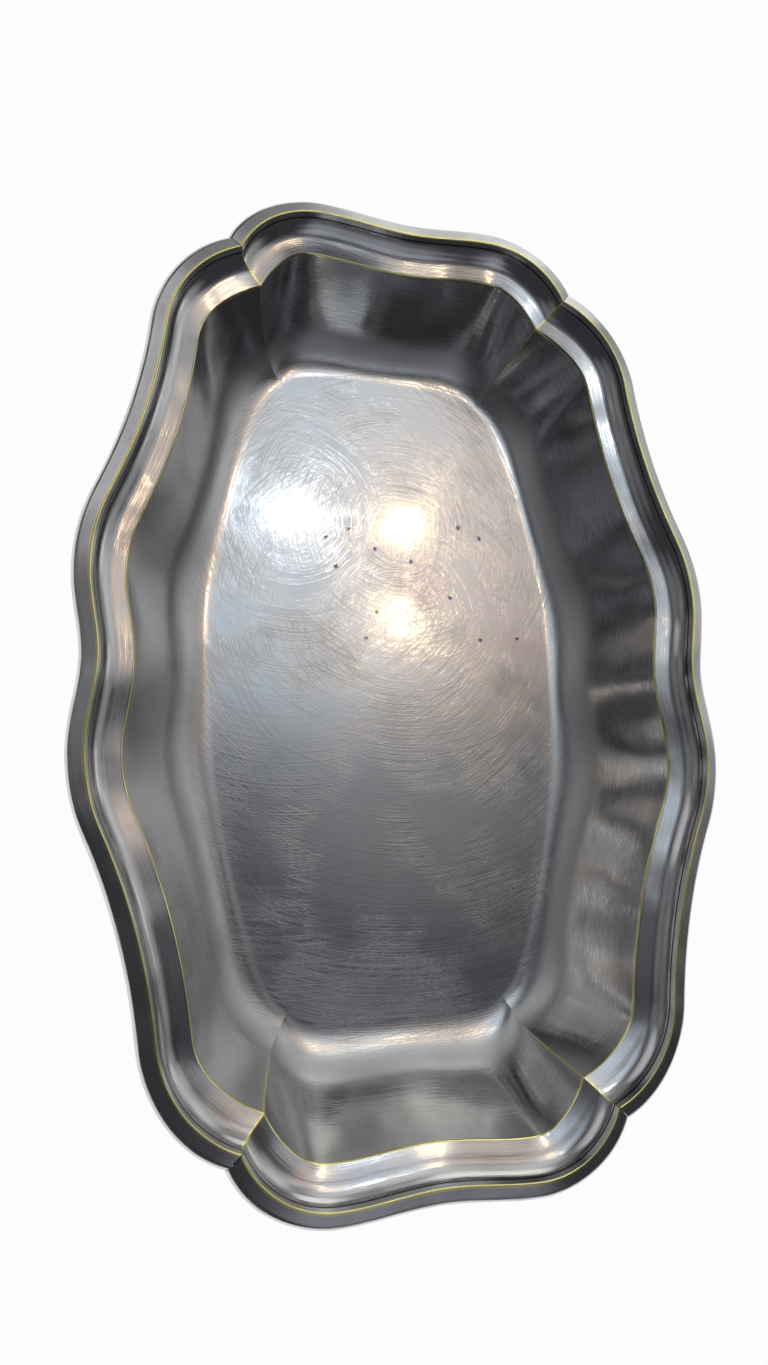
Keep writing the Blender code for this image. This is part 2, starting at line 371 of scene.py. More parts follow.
@dataclass
class Rings:
    """Closed lines that the dish is skinned over, one row for each station."""

    ridge: Array
    outward: Array
    floor: Array
    run: Array            # length along the ridge
    corner_reach: Array   # distance along the ridge to the nearest corner

    @classmethod
    def of(cls, plan: Plan) -> "Rings":
        """Rings of a plan, with the corners where a side meets an end.

        Args:
            plan: the platter's plan.

        Returns:
            Its rings.
        """
        side, end = plan.quarter()
        ridge = whole_ring(side.ridge, end.ridge)
        outward = whole_ring(side.outward, end.outward)
        floor = whole_ring(side.floor, end.floor) + np.array(plan.floor_shift)
        closed = running_length(np.concatenate((ridge, ridge[:1])))
        run, total = closed[:-1], closed[-1]
        first = len(side.ridge) - 1
        upper = np.array((first, first + 2 * (len(end.ridge) - 1)))
        corners = run[np.concatenate((upper, upper + len(ridge) // 2))]
        gap = np.abs(run[:, None] - corners)
        return cls(ridge, outward, floor, run, np.minimum(gap, total - gap).min(axis=1))


def grid_faces(rows: int, columns: int) -> Array:
    """Quads of a grid of vertices stored row by row, whose last column is joined to the first.

    Args:
        rows: number of rows.
        columns: vertices in a row.

    Returns:
        Vertex numbers, four for each quad.
    """
    column = np.arange(columns)
    following = (column + 1) % columns
    start = np.arange(rows - 1)[:, None] * columns
    corners = start + column, start + columns + column, start + columns + following, start + following
    return np.stack(corners, axis=-1).reshape(-1, 4)


def corner_values(by_row: Array, by_column: Array) -> Array:
    """Two values at each corner of the quads of such a grid.

    Args:
        by_row: value of each row.
        by_column: value of each column, and of the first one again after a whole round.

    Returns:
        Row's and column's value for each row of quads, column of quads and corner.
    """
    low, high = by_row[:-1], by_row[1:]
    first, second = by_column[:-1], by_column[1:]
    row = np.stack((low, high, high, low), axis=1)[:, None]
    column = np.stack((first, first, second, second), axis=1)
    return np.stack(np.broadcast_arrays(row, column), axis=-1)


def make_piece(name: str, points: Array, faces: Sequence[Sequence[int]], sharp: float) -> Piece:
    """Puts points and faces into a smooth-shaded object at the origin.

    Args:
        name: name of the piece.
        points: vertices.
        faces: vertex numbers of each face.
        sharp: angle between faces beyond which an edge stays sharp, in radians.

    Returns:
        The new object, linked to the scene.
    """
    mesh = bpy.data.meshes.new(name)
    mesh.from_pydata(points.tolist(), [], faces)
    mesh.validate()
    mesh.shade_smooth()
    mesh.set_sharp_from_angle(angle=sharp)
    piece = bpy.data.objects.new(name, mesh)
    bpy.context.scene.collection.objects.link(piece)
    return piece


def give_attribute(piece: Piece, name: str, values: Array) -> None:
    """Stores one number for each vertex under a name that a material reads."""
    layer = piece.data.attributes.new(name, "FLOAT", "POINT")
    layer.data.foreach_set("value", np.ascontiguousarray(values, dtype=np.float32))


def fit_out(piece: Piece, material: Material, node: str) -> None:
    """Gives a piece its material, hangs it on the body that it rides on, and hides the CAD node that it
    stands for.

    Args:
        piece: the piece.
        material: its material.
        node: CAD node that it stands for.
    """
    piece.data.materials.append(material)
    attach(piece, BODY)
    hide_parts(node)


def give_map(piece: Piece, name: str, places: Array) -> None:
    """Stores a pair of numbers for each face corner under a name that a material reads."""
    layer = piece.data.uv_layers.new(name=name)
    layer.data.foreach_set("uv", np.ascontiguousarray(places, dtype=np.float32).ravel())


@dataclass(frozen=True)
class Lift:
    """A place of the flange raised by hand: nothing before the start along its way, full after the end."""

    way: tuple[float, float]
    start: float
    end: float
    height: float

    def weight(self, plan: Array) -> Array:
        """Share of the lift at points of the plan, eased between start and end."""
        return smooth_step((plan @ np.array(self.way) - self.start) / (self.end - self.start))


@dataclass
class Dish:
    """Pressed dish: floor, wall, inner ridge, coved flange and the ledge that carries the border."""

    plan: Plan
    height: float
    sheet: float = 0.0010
    flange_width: float = 0.0116
    flange_drop: float = 0.0086
    flange_flat: float = 0.0052   # width of the flange's inner stretch, before it curves up
    cove_start: float = radians(14)
    lifts: tuple[Lift, ...] = (
        Lift((0.0, -1.0), 0.115, 0.150, 0.0005),
        Lift((-0.3, 0.95), 0.160, 0.167, 0.0004),
    )
    ledge_drop: float = 0.0026
    ledge_inner: float = 0.0010
    ledge_outer: float = 0.0032
    floor_bend: float = 0.0180
    bend_lean: float = radians(58)   # lean at which the bend meets the bowed wall
    floor_fade: float = 0.0040    # height above the floor over which its finish gives way to the wall's
    ridge_ease: float = 0.0007    # length of wall and of cove taken up by the inner ridge's rounding
    rub_reach: float = 0.0007     # half width of the worn line along a ridge or a crease
    crease_fade: float = 0.6      # share of the wall's height over which a worn crease comes in
    sharp: float = radians(50)    # angle beyond which an edge stays sharp
    floor_rows: int = 16
    under_floor_rows: int = 4
    bend_rows: int = 18
    wall_rows: int = 18
    ridge_rows: int = 8
    cove_rows: int = 14
    under_rows: tuple[int, int, int] = (6, 8, 10)
    rings: Rings = field(init=False)

    def __post_init__(self) -> None:
        """Works out the rings."""
        self.rings = Rings.of(self.plan)

    @property
    def wall_run(self) -> float:
        """Distance across from the inner ridge to the floor's edge at the waist."""
        return self.plan.floor_in_side - self.flange_width

    @property
    def wall_drop(self) -> float:
        """Height of the inner ridge above the floor."""
        return self.height - self.flange_drop - self.sheet

    def wall_section(self, wall_rows: int, bend_rows: int) -> Array:
        """Section of the wall as (across, down) from the inner ridge: a bow, then the bend into the floor.

        Args:
            wall_rows: steps along the bow.
            bend_rows: steps along the bend.

        Returns:
            Section points, inner ridge first.
        """
        lean = np.linspace(0.0, self.bend_lean, bend_rows + 1)
        bend = self.floor_bend * np.stack((np.sin(lean), 1 - np.cos(lean)), axis=1)
        size = np.array((self.wall_run, self.wall_drop))
        bow = bend[-1] + arc_from(self.bend_lean, size - bend[-1], wall_rows)
        return size - np.concatenate((bend, bow[1:]))[::-1]

    def cove(self, rows: int) -> Array:
        """Section of the flange as (outward, height) from the ridge line: nearly level first, then an arc.

        Args:
            rows: steps along the arc, and along the stretch before it.

        Returns:
            Section points, ledge first.
        """
        ridge = np.array((-self.flange_width, -self.flange_drop))
        ledge = np.array((-self.ledge_inner, -self.ledge_drop))
        start = ridge + self.flange_flat * np.array((cos(self.cove_start), sin(self.cove_start)))
        flat = ridge + np.linspace(0.0, 1.0, rows + 1)[:-1, None] * (start - ridge)
        return np.concatenate((flat, start + arc_from(self.cove_start, ledge - start, rows)))[::-1]

    def flange_surface(self, section: Array) -> Array:
        """Grid of section points carried along the ridge line: ridge + across · outward, at its height.

        Where the flange was raised by hand, half a sine wave across it, times the lift's weight, is added.

        Args:
            section: section points as (outward, height) from the border's ridge.

        Returns:
            Grid of points, one row for each section point.
        """
        plan = self.rings.ridge + section[:, :1, None] * self.rings.outward
        across = (section[:, 0] + self.flange_width) / (self.flange_width - self.ledge_inner)
        arch = np.sin(pi * np.clip(across, 0.0, 1.0))[:, None]
        lift = sum(lift.height * lift.weight(self.rings.ridge) for lift in self.lifts)
        level = self.height + section[:, 1, None] + arch * lift
        return np.dstack((plan, level))

    def wall_surface(self, section: Array) -> Array:
        """Grid from inner ridge to floor's edge: the points of a row go the same share of the way across.

        Args:
            section: section points as (across, down) from the inner ridge.

        Returns:
            Grid of points, one row for each section point.
        """
        inner = self.rings.ridge - self.flange_width * self.rings.outward
        share = section[:, :1, None] / self.wall_run
        plan = inner + share * (self.rings.floor - inner)
        level = np.broadcast_to(self.height - self.flange_drop - section[:, 1, None], plan.shape[:2])
        return np.dstack((plan, level))

    def upper_face(self) -> tuple[Array, Array]:
        """Upper face from the innermost floor ring to the cut edge.

        The inner ridge is rounded by a parabola from the wall to the cove whose control points are the ridge.

        Returns:
            Grid of points, and the zone of each row.
        """
        wall = self.wall_surface(self.wall_section(self.wall_rows, self.bend_rows))[::-1]
        cove = self.flange_surface(self.cove(self.cove_rows))[::-1]
        crest = cove[0]
        below = crest + self.ridge_ease * self.unit(wall[-2] - crest)
        above = crest + self.ridge_ease * self.unit(cove[1] - crest)
        t = np.linspace(0.0, 1.0, self.ridge_rows + 1)[:, None, None]
        ridge = (1 - t) ** 2 * below + 2 * t * (1 - t) * crest + t ** 2 * above
        floor = self.floor_rings(wall[0], np.arange(1, self.floor_rows) / self.floor_rows, self.sheet)
        edge = self.flange_surface(np.array([(self.ledge_outer, -self.ledge_drop)]))
        rows = (floor, wall[:-1], ridge, cove[1:], edge)
        zones = (Zone.FLOOR, Zone.WALL, Zone.RIDGE, Zone.FLANGE, Zone.FLANGE)
        zone = np.repeat(zones, [len(part) for part in rows])
        return np.concatenate(rows), zone

    @staticmethod
    def unit(ways: Array) -> Array:
        """Ways of length one."""
        return ways / np.linalg.norm(ways, axis=-1, keepdims=True)

    @staticmethod
    def floor_rings(edge: Array, shares: Array, level: float) -> Array:
        """Rings inside the floor's edge at one level: each is the edge shrunk to a share of its size."""
        plan = shares[:, None, None] * edge[:, :2]
        return np.dstack((plan, np.full(plan.shape[:2], level)))

    def under_face(self) -> Array:
        """Lower face, cut edge to floor: section points shifted by the sheet, square to both neighbours.

        Returns:
            Grid of points, cut edge first.
        """
        cove_rows, wall_rows, bend_rows = self.under_rows
        flange = np.concatenate(([(self.ledge_outer, -self.ledge_drop)], self.cove(cove_rows)))
        wall = self.wall_section(wall_rows, bend_rows)[1:]
        wall_points = np.stack((-self.flange_width - wall[:, 0], -self.flange_drop - wall[:, 1]), axis=1)
        section = np.concatenate((flange, wall_points))
        ways = np.diff(section, axis=0)
        ways = self.unit(np.concatenate((ways[:1], ways, [(-1.0, 0.0)])))
        normal = np.stack((-ways[:, 1], ways[:, 0]), axis=1)
        before, after = normal[:-1], normal[1:]
        shift = self.sheet * (before + after) / (1 + np.sum(before * after, axis=1, keepdims=True))
        upper = np.concatenate((self.flange_surface(flange), self.wall_surface(wall)))
        lower = upper.copy()
        lower[:, :, :2] += shift[:, :1, None] * self.rings.outward
        lower[:, :, 2] += shift[:, 1, None]
        rows = self.under_floor_rows
        return np.concatenate((lower, self.floor_rings(lower[-1], np.arange(rows - 1, 0, -1) / rows, 0.0)))

    def build(self) -> Piece:
        """Skins both faces as one closed grid with a pole in the middle of the floor above and below.

        Returns:
            The dish with its wear attributes and its grain map.
        """
        upper, zone = self.upper_face()
        lower = self.under_face()
        grid = np.concatenate((upper, lower))
        rows, columns = grid.shape[:2]
        top, bottom = rows * columns, rows * columns + 1
        points = np.concatenate((grid.reshape(-1, 3), [(0.0, 0.0, self.sheet), (0.0, 0.0, 0.0)]))
        quads = grid_faces(rows, columns)
        start = np.arange(columns)
        after = (start + 1) % columns
        last = (rows - 1) * columns
        fan_top = np.stack((np.full(columns, top), start, after), axis=1)
        fan_bottom = np.stack((np.full(columns, bottom), last + after, last + start), axis=1)
        faces = quads.tolist() + fan_top.tolist() + fan_bottom.tolist()
        piece = make_piece("dish", points, faces, self.sharp)
        self.mark(piece, grid, zone)
        return piece

    def mark(self, piece: Piece, grid: Array, zone: Array) -> None:
        """Stores what the finish reads: floor, rubbed lines, underside, flange, and the grain in metres.

        The grain runs along the ridge line, and along the section from the middle of the floor.

        Args:
            piece: the dish.
            grid: its vertices, row by row.
            zone: zone of each row of the upper face.
        """
        rows, columns = grid.shape[:2]
        upper = len(zone)
        reach = running_length(grid[:, 0])
        crest = reach[np.flatnonzero(zone == Zone.RIDGE)].mean()
        level = grid[:, :, 2]
        floor = 1 - smooth_step((level - self.sheet) / self.floor_fade)
        floor[upper:] = 0.0
        rub = np.exp(-((reach[:, None] - crest) / self.rub_reach) ** 2) * np.ones(columns)
        crease = np.exp(-(self.rings.corner_reach / self.rub_reach) ** 2) * np.ones((rows, 1))
        crease *= smooth_step((level - self.sheet) / self.wall_drop / self.crease_fade)
        rub[upper:] = crease[upper:] = 0.0
        below = np.zeros((rows, columns))
        below[upper:] = 1.0
        flange = np.zeros((rows, columns))
        flange[:upper][zone == Zone.FLANGE] = 1.0
        for name, values in (("floor", floor), ("rub", np.maximum(rub, crease)), ("below", below),
                             ("flange", flange)):
            ends = values[0].mean(), values[-1].mean()
            give_attribute(piece, name, np.concatenate((values.ravel(), ends)))
        run = np.append(self.rings.run, 2 * self.rings.run[-1] - self.rings.run[-2])
        grain = corner_values(reach, run)[..., ::-1]
        fans = np.zeros((2 * 3 * columns, 2))
        give_map(piece, "grain", np.concatenate((grain.reshape(-1, 2), fans)))

    def dress(self, piece: Piece) -> None:
        """Gives the dish its finish and its place in the frame."""
        fit_out(piece, DishFinish().material(), "dish_body")


@dataclass
class Border:
    """Border moulding: a drawn section with a ridge, a rounded outer face and a rebate over the sheet."""

    plan: Plan
    height: float
    out: float = 0.0058
    skirt: float = 0.0064
    shoulder: float = 0.0040
    bend: float = 0.0032
    toe: float = 0.0013
    ridge_radius: float = 0.0005
    skirt_ease: float = 0.0005
    seat_gap: float = 0.0003
    mitre_gap: float = 0.0003
    mitre_fade: float = 0.0024    # length over which a border draws back from its mitre
    ledge_drop: float = 0.0026
    ledge_outer: float = 0.0032
    rub_reach: float = 0.0009
    toe_reach: float = 0.00054    # half width of the dark line in the seam: soil and painted shade
    sharp: float = radians(40)    # angle beyond which an edge stays sharp
    face_steps: int = 8
    bend_steps: int = 16
    ridge_steps: int = 8

    def section(self) -> Array:
        """Closed section as (outward, height): inner face, ridge, outer face, skirt and rebate.

        Returns:
            Section points, toe first.
        """
        seat = self.seat_gap - self.ledge_drop
        rebate = self.ledge_outer + self.seat_gap
        toe = np.array((-self.toe, seat))
        inner = toe + bent_to_level(self.toe, -seat, self.ridge_radius, self.face_steps, self.ridge_steps)
        upright = bent_to_level(self.shoulder, self.out, self.bend, self.face_steps, self.bend_steps)
        outer = np.stack((upright[:, 1], -upright[:, 0]), axis=1)
        foot = [
            (self.out, self.skirt_ease - self.skirt),
            (self.out - self.skirt_ease, -self.skirt),
            (rebate, -self.skirt),
            (rebate, seat),
        ]
        return np.concatenate((inner, outer[1:], foot))

    def stations(self, side: BorderSide) -> tuple[Array, Array]:
        """Ridge points and outward ways of one length, drawn back from the mitre at both ends.

        Args:
            side: which length.

        Returns:
            Points and outward ways, corner to corner.
        """
        long_run, end_run = self.plan.quarter()
        run, mirror = (long_run, ACROSS_X) if side.on_long_side else (end_run, ACROSS_Y)
        mitre = run.outward[-1] / np.linalg.norm(run.outward[-1])
        square = np.array((-mitre[1], mitre[0]))
        back = -np.sign(square @ run.along[-1]) * square
        # the stations near the corner give way to the gap too, so that none passes another
        fade = np.exp(-running_length(run.ridge[::-1])[::-1] / self.mitre_fade)
        half = run.ridge + fade[:, None] * back * self.mitre_gap / 2
        return side.turn * whole_run(half, mirror), side.turn * whole_run(run.outward, mirror)

    def build(self, side: BorderSide) -> Piece:
        """Carries the section along one length: station + across · outward, at the section's height.

        Args:
            side: which length.

        Returns:
            The length with its attributes of wear and of the darkened seam, and its grain map.
        """
        section = self.section()
        places, ways = self.stations(side)
        plan = places[:, None] + section[:, 0, None] * ways[:, None]
        level = np.broadcast_to(self.height + section[:, 1], plan.shape[:2])
        grid = np.dstack((plan, level))
        rows, columns = grid.shape[:2]
        quads = grid_faces(rows, columns)
        caps = [list(range(columns)), list(range(rows * columns - 1, (rows - 1) * columns - 1, -1))]
        if not side.on_long_side:
            quads = quads[:, ::-1]
            caps = [cap[::-1] for cap in caps]
        piece = make_piece(side.node + "_moulding", grid.reshape(-1, 3), quads.tolist() + caps, self.sharp)
        self.mark(piece, side, section, places)
        return piece

    def mark(self, piece: Piece, side: BorderSide, section: Array, places: Array) -> None:
        """Stores the rubbed line along the ridge, the toe where the seam is darkened with soil and painted
        shade, and the grain in metres.

        Args:
            piece: one length of border.
            side: which length.
            section: its section.
            places: its ridge points.
        """
        rows, columns = len(places), len(section)
        reach = running_length(np.concatenate((section, section[:1])))
        crest = reach[np.argmax(section[:, 1])]
        rub = np.exp(-((reach[:-1] - crest) / self.rub_reach) ** 2)
        toe = np.exp(-(reach[:-1] / self.toe_reach) ** 2)
        for name, values in (("rub", rub), ("toe", toe)):
            give_attribute(piece, name, np.tile(values, rows))
        grain = corner_values(running_length(places), reach).reshape(-1, 4, 2)
        if not side.on_long_side:
            grain = grain[:, ::-1]
        give_map(piece, "grain", np.concatenate((grain.reshape(-1, 2), np.zeros((2 * columns, 2)))))

    def dress(self, piece: Piece, side: BorderSide, metal: Material) -> None:
        """Gives one length the border's finish and its place in the frame."""
        fit_out(piece, metal, side.node)


class Web:
    """Node tree of one material or sky, with short makers for the nodes used here."""

    apart: ClassVar[tuple[float, ...]] = (1.0, 1.7, 0.3)   # way in which patterns are shifted apart

    def __init__(self, tree: bpy.types.NodeTree) -> None:
        """Takes the tree to work in."""
        self.tree = tree

    @classmethod
    def of_material(cls, name: str) -> tuple["Web", Material]:
        """Starts a material.

        Args:
            name: the material's name.

        Returns:
            The web of its nodes, and the material.
        """
        material = bpy.data.materials.new(name)
        material.use_nodes = True
        return cls(material.node_tree), material

    def put(self, socket: Socket, value: Value) -> None:
        """Links a socket's source, or sets its number.

        Args:
            socket: input of a node.
            value: a socket to link, or a number or tuple to set.
        """
        if isinstance(value, Socket):
            self.tree.links.new(value, socket)
        else:
            socket.default_value = value

    def node(self, kind: str, inputs: dict[Any, Value], **settings: Any) -> bpy.types.Node:
        """Makes a node with its settings and inputs.

        Args:
            kind: Blender's name of the node.
            inputs: values by the input's name or number.
            settings: values of the node's own options.

        Returns:
            The node.
        """
        made = self.tree.nodes.new(kind)
        for name, value in settings.items():
            setattr(made, name, value)
        for key, value in inputs.items():
            self.put(made.inputs[key], value)
        return made

    def out(self, kind: str, inputs: dict[Any, Value], output: int | str = 0, **settings: Any) -> Socket:
        """One output of a new node."""
        return self.node(kind, inputs, **settings).outputs[output]

    def math(self, operation: str, *terms: Value) -> Socket:
        """Arithmetic on numbers."""
        return self.out("ShaderNodeMath", dict(enumerate(terms)), operation=operation)

    def vector(self, operation: str, *terms: Value, output: int | str = 0) -> Socket:
        """Arithmetic on places, ways or colours."""
        return self.out("ShaderNodeVectorMath", dict(enumerate(terms)), output, operation=operation)

    def times(self, *terms: Value) -> Socket:
        """Product of numbers."""
        return reduce(partial(self.math, "MULTIPLY"), terms)

    def total(self, *terms: Value) -> Socket:
        """Sum of numbers."""
        return reduce(partial(self.math, "ADD"), terms)

    def largest(self, *terms: Value) -> Socket:
        """Largest of some numbers."""
        return reduce(partial(self.math, "MAXIMUM"), terms)

    def place(self) -> Socket:
        """Place on the piece in metres."""
        return self.out("ShaderNodeTexCoord", {}, "Object")

    def attribute(self, name: str) -> Socket:
        """A number stored on the piece."""
        return self.out("ShaderNodeAttribute", {}, "Fac", attribute_name=name)

    def noise(self, vector: Socket, size: Sequence[float], turn: float = 0.0, shift: float = 0.0,
              detail: float = 1.0) -> Socket:
        """Cloudy pattern from 0 to 1.

        Args:
            vector: place to read it at.
            size: length and width of one cloud, and its height where the pattern has three dimensions.
            turn: angle between the cloud's length and the X axis.
            shift: distance that sets one pattern apart from another.
            detail: how many finer clouds are laid over it.

        Returns:
            The pattern's value.
        """
        inputs = {"Vector": vector, "Location": [shift * part for part in self.apart],
                  "Rotation": (0.0, 0.0, turn), "Scale": (*size, 1.0)[:3]}
        mapped = self.out("ShaderNodeMapping", inputs, vector_type="TEXTURE")
        return self.out("ShaderNodeTexNoise", {"Vector": mapped, "Scale": 1.0, "Detail": detail},
                        noise_dimensions=f"{len(size)}D")

    def shaken(self, place: Socket, shake: "Shake") -> Socket:
        """Place moved along X and Y by a coloured cloud pattern times the shake's reach.

        Args:
            place: place on the piece.
            shake: how it is moved.

        Returns:
            The moved place.
        """
        inputs = {"Vector": place, "Scale": shake.scale, "Detail": shake.detail}
        cloud = self.out("ShaderNodeTexNoise", inputs, "Color", noise_dimensions=shake.dimensions)
        return self.vector("MULTIPLY_ADD", cloud, (shake.reach, shake.reach, 0.0), place)

    def step(self, value: Value, low: float, high: float, start: float = 0.0, end: float = 1.0) -> Socket:
        """Eases from the start number to the end one while a value goes from low to high."""
        return self.out("ShaderNodeMapRange", {0: value, 1: low, 2: high, 3: start, 4: end},
                        interpolation_type="SMOOTHSTEP")

    def mix(self, share: Value, first: Value, second: Value) -> Socket:
        """Colour between two others."""
        return self.out("ShaderNodeMix", {0: share, 6: first, 7: second}, 2, data_type="RGBA")

    def blend(self, share: Value, first: Value, second: Value) -> Socket:
        """Number between two others."""
        return self.out("ShaderNodeMix", {0: share, 2: first, 3: second}, data_type="FLOAT")

    def bump(self, height: Socket) -> Socket:
        """Normal of a relief whose height is in metres."""
        return self.out("ShaderNodeBump", {"Strength": 1.0, "Distance": 1.0, "Height": height})


@dataclass(frozen=True)
class Shake:
    """How a place is moved to and fro: clouds in a metre, how far they move it, finer clouds, dimensions."""

    scale: float
    reach: float
    detail: float
    dimensions: str = "3D"


class Stain(Enum):
    """Colours of the small marks on the floor."""

    BROWN = (0.17, 0.10, 0.07, 1.0)
    VIOLET = (0.17, 0.11, 0.21, 1.0)
    BLUE = (0.10, 0.12, 0.24, 1.0)
    ASH = (0.24, 0.22, 0.21, 1.0)


@dataclass(frozen=True)
class Mark:
    """A round mark on the floor: its middle and its radius, of which a share is a soft rim."""

    soft: ClassVar[float] = 0.6
    x: float
    y: float
    radius: float

    def share_at(self, web: Web, place: Socket, level: float) -> Socket:
        """Share of the mark: 1 in its middle, 0 beyond its radius."""
        gap = web.vector("DISTANCE", place, (self.x, self.y, level), output="Value")
        return web.step(gap, self.radius * (1 - self.soft), self.radius, 1.0, 0.0)


@dataclass(frozen=True)
class Spot(Mark):
    """A small dark stain."""

    soft: ClassVar[float] = 0.7
    stain: Stain


@dataclass(frozen=True)
class Blot(Mark):
    """A wide faint stain: share of its colour, and the colour."""

    soft: ClassVar[float] = 0.8
    share: float
    colour: Colour


@dataclass(frozen=True)
class Strokes:
    """Short scratches in many directions: in each, the peaks of a cloud pattern drawn out along it."""

    directions: int
    length: float
    width: float
    peak: Ease   # part of the cloud's height that makes a scratch
    depth: float
    longer: float = 0.25   # steps by which length and width differ between directions
    wider: float = 0.3
    apart: float = 0.013

    def height(self, web: Web, place: Socket) -> Socket:
        """Height of the strokes from 0 to 1: the highest of all directions.

        Args:
            web: tree to work in.
            place: place on the piece.

        Returns:
            The strokes' height.
        """
        height: Value = 0.0
        for number in range(self.directions):
            turn = pi * number / self.directions
            length = self.length * (1 + self.longer * (number % 3))
            width = self.width * (1 + self.wider * (number % 2))
            cloud = web.noise(place, (length, width), turn, self.apart * (number + 1), detail=0.0)
            height = web.largest(height, web.step(cloud, *self.peak))
        return height


@dataclass(frozen=True)
class Swirl:
    """Scratches left by rubbing in circles: the peaks of a cloud pattern drawn out round some middles."""

    middles: tuple[tuple[float, float], ...]
    turn: float   # angle that one scratch goes round
    width: float
    peak: Ease    # part of the cloud's height that makes a scratch
    depth: float
    gap: float = 0.12   # angle over which the scratches thin out where the angle starts again
    calm: Ease = (0.005, 0.018, 0.25, 1.0)   # radii between which they come in round each middle
    apart: float = 0.37

    def height(self, web: Web, place: Socket) -> Socket:
        """Height of the arcs from 0 to 1: the highest round all middles.

        Args:
            web: tree to work in.
            place: place on the piece.

        Returns:
            The arcs' height.
        """
        height: Value = 0.0
        clear: Value = 1.0
        for number, middle in enumerate(self.middles):
            off = web.vector("SUBTRACT", place, (*middle, 0.0))
            parts = web.node("ShaderNodeSeparateXYZ", {0: off}).outputs
            angle = web.math("ARCTAN2", parts["Y"], parts["X"])
            reach = web.vector("LENGTH", off, output="Value")
            polar = web.out("ShaderNodeCombineXYZ", {0: angle, 1: reach})
            cloud = web.noise(polar, (self.turn, self.width), 0.0, self.apart * (number + 1), detail=0.0)
            whole = web.step(web.math("ABSOLUTE", angle), pi - self.gap, pi, 1.0, 0.0)
            height = web.largest(height, web.times(whole, web.step(cloud, *self.peak)))
            clear = web.times(clear, web.step(reach, *self.calm))
        return web.times(height, clear)


@dataclass(frozen=True)
class RubbedPlate:
    """Silver-coloured plate rubbed through to brass: what the dish and the border share."""

    plate: Colour = (0.64, 0.64, 0.645, 1.0)
    dull: Colour = (0.49, 0.475, 0.465, 1.0)
    brass: Colour = (0.90, 0.84, 0.42, 1.0)
    # near-black colour of the border's seam at its toe: partly soil, partly painted shade where the border
    # meets the flange
    soil_and_painted_shade: Colour = (0.050, 0.042, 0.026, 1.0)
    wear_size: float = 0.008
    wear_share: float = 0.7   # how much clouds break up the rubbed lines
    wear: Ease = (0.65, 1.10)
    brush_length: float = 0.014
    brush_width: float = 0.00036
    brush_depth: float = 0.000024
    broad_size: tuple[float, float] = (1.5, 3.0)   # length and width of broader lines beside the fine ones
    broad_share: float = 0.7   # how much the broader lines count
    wave_size: float = 0.017
    wave_depth: float = 0.0006

    def rubbed_share(self, web: Web, place: Socket) -> Socket:
        """Share of brass: the stored rubbed line, broken up by clouds."""
        ragged = web.noise(place, (self.wear_size,) * 3, detail=3.0)
        return web.step(web.math("MULTIPLY_ADD", ragged, self.wear_share, web.attribute("rub")), *self.wear)

    def brushing(self, web: Web) -> Socket:
        """Fine lines left by rubbing along the sides.

        Args:
            web: tree to work in.

        Returns:
            The lines' height in metres.
        """
        grain = web.out("ShaderNodeUVMap", {}, "UV", uv_map="grain")
        size = np.array((self.brush_length, self.brush_width))
        fine = web.noise(grain, size, detail=2.0)
        broad = web.noise(grain, size * self.broad_size, shift=0.4)
        both = web.math("MULTIPLY_ADD", broad, self.broad_share, fine)
        return web.times(web.math("SUBTRACT", both, (1 + self.broad_share) / 2), self.brush_depth)

    def waves(self, web: Web, place: Socket) -> Socket:
        """Height in metres of the low waves of hand-finished sheet."""
        cloud = web.noise(place, (self.wave_size,) * 3, shift=0.2, detail=0.5)
        return web.times(web.math("SUBTRACT", cloud, 0.5), self.wave_depth)

    def metal(self, web: Web, colour: Value, roughness: Value, relief: Socket) -> None:
        """Sets the shader's inputs.

        Args:
            web: tree to work in.
            colour: colour of the metal.
            roughness: its roughness.
            relief: height of its relief in metres.
        """
        inputs = {"Base Color": colour, "Metallic": 1.0, "Roughness": roughness, "Normal": web.bump(relief)}
        for name, value in inputs.items():
            web.put(web.tree.nodes["Principled BSDF"].inputs[name], value)


